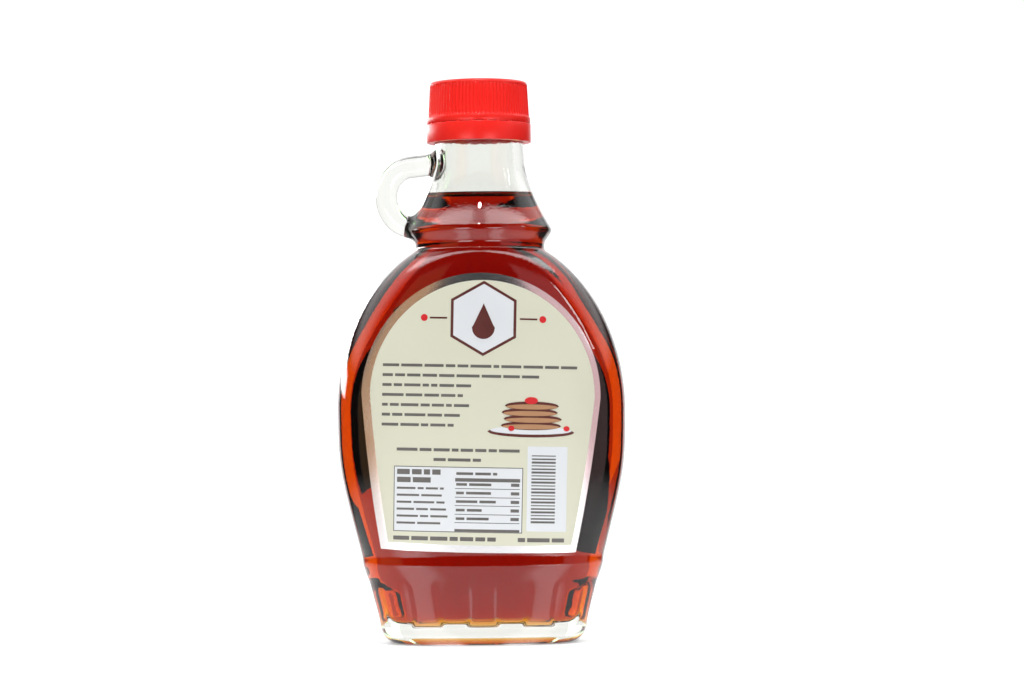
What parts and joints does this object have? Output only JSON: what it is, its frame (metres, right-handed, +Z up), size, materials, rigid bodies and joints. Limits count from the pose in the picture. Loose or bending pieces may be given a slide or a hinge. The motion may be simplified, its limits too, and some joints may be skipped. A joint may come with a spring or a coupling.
{
  "type": "handled syrup bottle",
  "caption": "Flat-sided clear glass flask with a ring handle at the neck, filled with dark amber syrup, with a ribbed red screw cap and an arched cream label with a foil edge.",
  "frame": {"origin": "middle of the foot, on the surface that the bottle stands on", "axes": "+Z up along the neck, the flat faces look along -Y and +Y, the label faces -Y, the ring handle is on the -X side"},
  "size_m": [0.0842, 0.0463, 0.1643],
  "materials": {
    "bottle_glass": "clear smooth glass",
    "syrup": "clear dark amber liquid",
    "screw_cap": "satin moulded plastic",
    "label_front": "coated paper with a bright foil edge"
  },
  "bodies": {
    "root": {"bottle_glass": "bottle_glass", "syrup": "syrup", "screw_cap": "screw_cap", "label_front": "label_front"}
  },
  "joints": []
}
